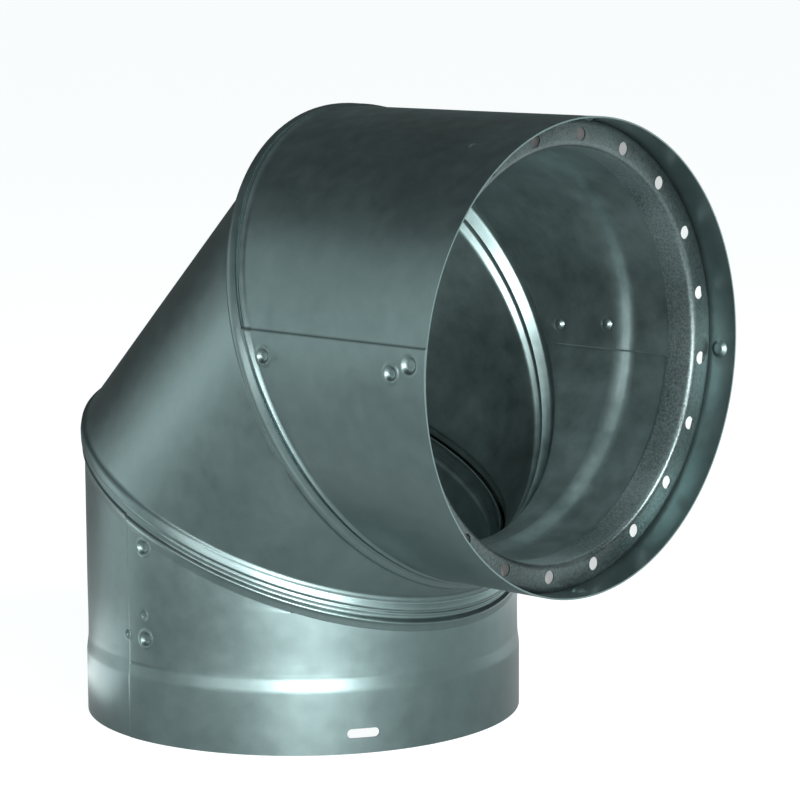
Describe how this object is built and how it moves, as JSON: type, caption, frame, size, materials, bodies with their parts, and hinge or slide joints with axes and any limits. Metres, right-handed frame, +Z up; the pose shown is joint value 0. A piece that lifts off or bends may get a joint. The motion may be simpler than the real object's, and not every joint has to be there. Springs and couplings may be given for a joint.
{
  "type": "double wall flue elbow",
  "caption": "Square-turning mitred flue elbow: a steel casing round a flue liner with an air gap, a slotted collar at the foot and a wider mouth with a holed spacer ring.",
  "frame": {"origin": "centre of the foot collar's rim, on the plane that the elbow stands on", "axes": "+Z up the lower leg's axis, +X out of the mouth along the upper leg's axis, +Y across the bend"},
  "size_m": [0.2422, 0.184, 0.2476],
  "materials": {
    "casing_steel": "satin galvanised sheet, grey",
    "liner_steel": "satin sheet with a soft shine",
    "spangled_steel": "galvanised sheet with a fine spangle"
  },
  "bodies": {
    "root": {"outer_lower_gore": "casing_steel", "outer_middle_gore": "casing_steel", "outer_upper_gore": "casing_steel", "inner_lower_gore": "liner_steel", "inner_middle_gore": "liner_steel", "inner_upper_gore": "liner_steel", "mouth_spacer_ring": "spangled_steel", "foot_spacer_clips": "spangled_steel"}
  },
  "joints": []
}
